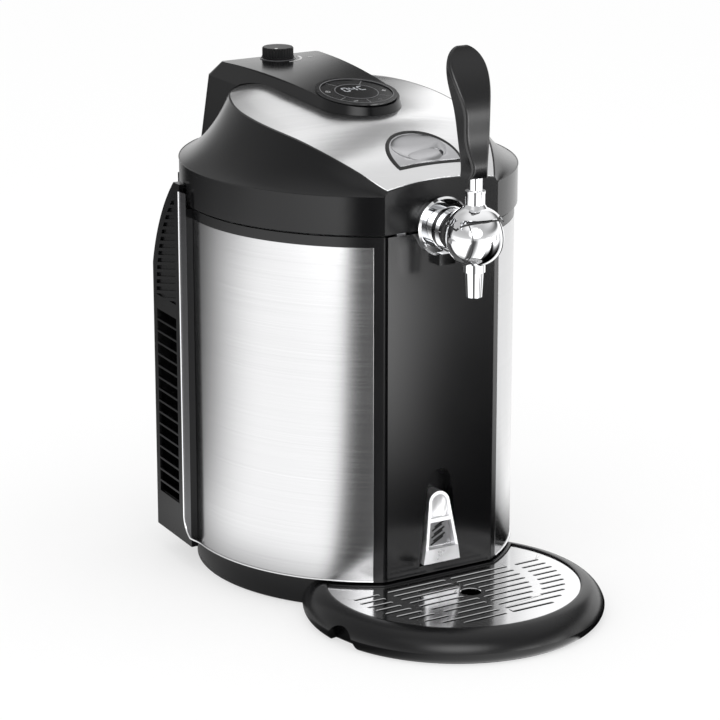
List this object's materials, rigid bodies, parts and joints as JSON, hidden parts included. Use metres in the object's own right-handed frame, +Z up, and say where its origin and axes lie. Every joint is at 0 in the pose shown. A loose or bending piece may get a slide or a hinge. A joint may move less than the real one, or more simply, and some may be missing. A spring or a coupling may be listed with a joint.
{
  "type": "mini keg beer dispenser",
  "caption": "Countertop cooler and dispenser for a mini keg: ball tap with pull handle, hinged lid with latch, gas regulator and control dial, slide-out drip tray.",
  "frame": {"origin": "on the ground under the middle of the round body, at the centre foot's underside", "axes": "+Z up; the tap and the drip tray face -Y; +X is to the right for someone standing in front of the tap"},
  "size_m": [0.2746, 0.4394, 0.464],
  "materials": {
    "black_satin": "satin",
    "rubber_black": "matte",
    "rubber_grey": "matte",
    "steel_screw": "brushed",
    "brushed_panel": "brushed",
    "polished_plate": "polished",
    "gloss_black": "gloss",
    "lid_black": "satin",
    "handle_black": "satin",
    "chrome_bright": "polished",
    "liner_aluminium": "satin",
    "sink_aluminium": "satin",
    "grey_plastic": "matte",
    "foam_white": "matte",
    "ceramic_white": "matte",
    "board_green": "satin",
    "brass_body": "satin",
    "button_silver": "satin",
    "display_glass": "gloss"
  },
  "bodies": {
    "housing": {"base_plinth": "black_satin", "rubber_feet": "rubber_black", "base_screws": "steel_screw", "body_frame": "black_satin", "side_panel_left": "brushed_panel", "side_panel_right": "brushed_panel", "front_panel": "gloss_black", "opener_niche": "black_satin", "bottle_opener": "chrome_bright", "chamber_liner": "liner_aluminium", "top_deck": "grey_plastic", "insulation_foam": "foam_white", "cold_plate": "liner_aluminium", "cooling_module": "ceramic_white", "heat_sink": "sink_aluminium", "fan_frame": "black_satin", "side_duct_left": "black_satin", "side_duct_right": "black_satin", "side_grille_left": "black_satin", "side_grille_right": "black_satin", "rear_cover": "black_satin", "cover_screws": "steel_screw", "hinge_pins": "steel_screw", "power_board": "board_green", "power_inlet": "black_satin", "tap_flange": "chrome_bright", "tap_shank": "chrome_bright", "shank_nut": "chrome_bright", "tap_neck": "chrome_bright", "tap_seal": "rubber_black", "tap_ball": "chrome_bright", "spout": "chrome_bright", "pivot_pin": "steel_screw", "latch_keeper": "steel_screw"},
    "lid": {"lid_shell": "lid_black", "top_plate": "brushed_panel", "pod_housing": "lid_black", "display_bezel": "gloss_black", "display_lens": "display_glass", "control_board": "board_green", "lid_inner_cover": "grey_plastic", "lid_foam": "foam_white", "lid_gasket": "rubber_grey", "regulator_body": "brass_body", "cartridge_holder": "sink_aluminium"},
    "gas_knob": {"regulator_knob": "black_satin"},
    "latch_press": {"latch_button": "button_silver"},
    "latch_slide": {"latch_hook": "grey_plastic"},
    "power_key": {"key_power": "gloss_black"},
    "minus_key": {"key_minus": "gloss_black"},
    "mode_key": {"key_mode": "gloss_black"},
    "plus_key": {"key_plus": "gloss_black"},
    "tap_lever": {"tap_cap": "chrome_bright", "lever_stem": "chrome_bright", "tap_handle": "handle_black"},
    "plunger": {"valve_plunger": "steel_screw"},
    "tray": {"tray_body": "black_satin"},
    "plate": {"drip_plate": "polished_plate"},
    "fan": {"fan_rotor": "black_satin"}
  },
  "joints": [
    {"name": "lid_hinge", "type": "hinge", "parent": "housing", "child": "lid", "pos_m": [0, 0.144, 0.309], "axis": [-1, 0, 0], "range_deg": [0, 80]},
    {"name": "handle_tilt", "type": "hinge", "parent": "housing", "child": "tap_lever", "pos_m": [0, -0.187, 0.3165], "axis": [1, 0, 0], "range_deg": [0, 30]},
    {"name": "plunger_slide", "type": "slide", "parent": "housing", "child": "plunger", "axis": [0, 1, 0], "range_m": [0, 0.005]},
    {"name": "knob_turn", "type": "hinge", "parent": "lid", "child": "gas_knob", "pos_m": [0, 0.112, 0.412], "axis": [0, 0, 1], "range_deg": [0, 270]},
    {"name": "latch_push", "type": "slide", "parent": "lid", "child": "latch_press", "axis": [0, 0, -1], "range_m": [0, 0.003], "stiffness_N_per_m": 400},
    {"name": "latch_release", "type": "slide", "parent": "lid", "child": "latch_slide", "axis": [0, 1, 0], "range_m": [0, 0.003]},
    {"name": "power_press", "type": "slide", "parent": "lid", "child": "power_key", "axis": [0, 0.1495, -0.9888], "range_m": [0, 0.0008], "stiffness_N_per_m": 300},
    {"name": "minus_press", "type": "slide", "parent": "lid", "child": "minus_key", "axis": [0, 0.1495, -0.9888], "range_m": [0, 0.0008], "stiffness_N_per_m": 300},
    {"name": "mode_press", "type": "slide", "parent": "lid", "child": "mode_key", "axis": [0, 0.1495, -0.9888], "range_m": [0, 0.0008], "stiffness_N_per_m": 300},
    {"name": "plus_press", "type": "slide", "parent": "lid", "child": "plus_key", "axis": [0, 0.1495, -0.9888], "range_m": [0, 0.0008], "stiffness_N_per_m": 300},
    {"name": "tray_slide", "type": "slide", "parent": "housing", "child": "tray", "axis": [0, -1, 0], "range_m": [0, 0.12]},
    {"name": "plate_lift", "type": "slide", "parent": "tray", "child": "plate", "axis": [0, 0, 1], "range_m": [0, 0.01]},
    {"name": "fan_spin", "type": "hinge", "parent": "housing", "child": "fan", "pos_m": [0, 0.118, 0.18], "axis": [0, 1, 0], "continuous": true}
  ],
  "couplings": [
    {"joint": "plunger_slide", "follows": "handle_tilt", "m_per_rad": 0.0092},
    {"joint": "latch_release", "follows": "latch_push", "ratio": 1}
  ]
}
